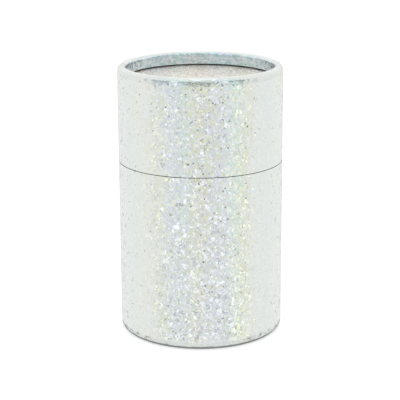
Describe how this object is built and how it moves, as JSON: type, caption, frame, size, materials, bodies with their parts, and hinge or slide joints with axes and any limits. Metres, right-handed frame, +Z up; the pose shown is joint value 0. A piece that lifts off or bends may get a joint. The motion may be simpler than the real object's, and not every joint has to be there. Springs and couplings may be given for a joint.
{
  "type": "cylindrical gift tube box",
  "caption": "Round paper tube gift box with a lift-off lid over a glued-in neck, rolled rims, recessed end discs and sparkling silver foil paper.",
  "frame": {"origin": "centre of the foot circle, on the surface that the box stands on", "axes": "+Z up along the tube's axis, from the base to the lid; +Y towards the back, where the foil paper's lap seam runs"},
  "size_m": [0.073, 0.0732, 0.12],
  "materials": {
    "foil_paper": "holographic glitter foil paper, silver",
    "disc_foil_paper": "holographic glitter foil paper, silver",
    "tube_board": "wound kraft board, matte",
    "disc_board": "grey board, matte",
    "white_paper": "lining paper, matte"
  },
  "bodies": {
    "base": {"base_core": "tube_board", "base_wrap": "foil_paper", "base_disc_facing": "disc_foil_paper", "base_disc": "disc_board", "base_floor_paper": "white_paper", "base_lining": "white_paper", "neck_core": "tube_board", "neck_cover": "white_paper", "neck_lining": "white_paper"},
    "lid": {"lid_core": "tube_board", "lid_wrap": "foil_paper", "lid_disc_facing": "disc_foil_paper", "lid_disc": "disc_board", "lid_disc_paper": "white_paper", "lid_lining": "white_paper"}
  },
  "joints": [
    {"name": "lid_lift", "type": "slide", "parent": "base", "child": "lid", "axis": [0, 0, 1], "range_m": [0, 0.12]}
  ]
}
